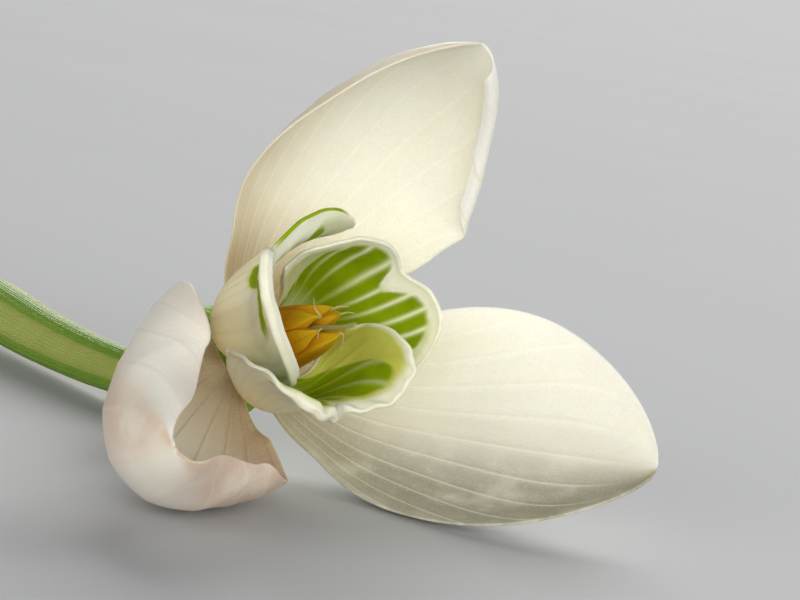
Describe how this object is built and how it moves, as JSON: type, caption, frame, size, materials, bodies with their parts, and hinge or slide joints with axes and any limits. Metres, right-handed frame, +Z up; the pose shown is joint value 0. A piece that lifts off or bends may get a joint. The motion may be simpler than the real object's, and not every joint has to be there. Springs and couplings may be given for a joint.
{
  "type": "snowdrop flower",
  "caption": "Open snowdrop bloom as picked, lying on its outer tepals, with a green-marked inner cup, stamens, ovary, spathe and a short cut scape.",
  "frame": {"origin": "centre of the bounding box at its bottom, on the surface that the bloom lies on", "axes": "+Z up from the surface; the bloom's mouth looks towards +X, -Y and 29 degrees up, and the stalk runs back towards -X, +Y"},
  "size_m": [0.06, 0.068, 0.0279],
  "materials": {
    "outer_tepal": "satin",
    "inner_tepal": "satin",
    "anther": "matte",
    "ovary": "satin",
    "pedicel": "satin",
    "spathe": "satin",
    "scape": "satin"
  },
  "bodies": {
    "root": {"outer_tepal_upper": "outer_tepal", "outer_tepal_right": "outer_tepal", "outer_tepal_near": "outer_tepal", "inner_tepal_right": "inner_tepal", "inner_tepal_lower": "inner_tepal", "inner_tepal_near": "inner_tepal", "stamens": "anther", "pistil": "ovary", "pedicel": "pedicel", "spathe": "spathe", "scape": "scape"}
  },
  "joints": []
}
